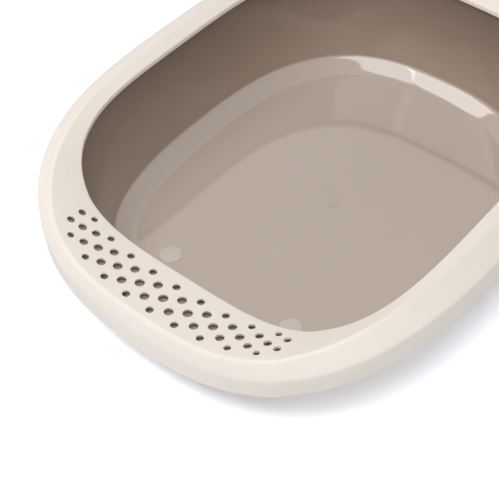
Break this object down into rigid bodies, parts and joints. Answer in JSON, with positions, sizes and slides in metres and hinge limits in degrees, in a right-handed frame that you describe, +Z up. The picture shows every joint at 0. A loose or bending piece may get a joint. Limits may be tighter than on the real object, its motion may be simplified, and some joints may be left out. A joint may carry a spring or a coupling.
{
  "type": "litter box",
  "caption": "Open cat litter box: a glossy taupe tray under a lift-off speckled cream rim frame whose front dips to a perforated entry deck.",
  "frame": {"origin": "middle of the box's footprint on the ground, under the centre of its bounding box", "axes": "+X to the right seen from the front, -Y towards the dipped perforated front, +Z up"},
  "size_m": [0.4388, 0.544, 0.1274],
  "materials": {
    "cream_plastic": "satin moulded plastic, cream with fine faint dark speckles",
    "taupe_plastic": "smooth glossy moulded plastic, warm taupe",
    "foot_rubber": "matt soft rubber, dark taupe"
  },
  "bodies": {
    "tray": {"tray": "taupe_plastic", "foot_front_left": "foot_rubber", "foot_front_right": "foot_rubber", "foot_back_left": "foot_rubber", "foot_back_right": "foot_rubber"},
    "rim": {"rim_frame": "cream_plastic"}
  },
  "joints": [
    {"name": "rim_lift", "type": "slide", "parent": "tray", "child": "rim", "axis": [0, 0, 1], "range_m": [0, 0.1]}
  ]
}
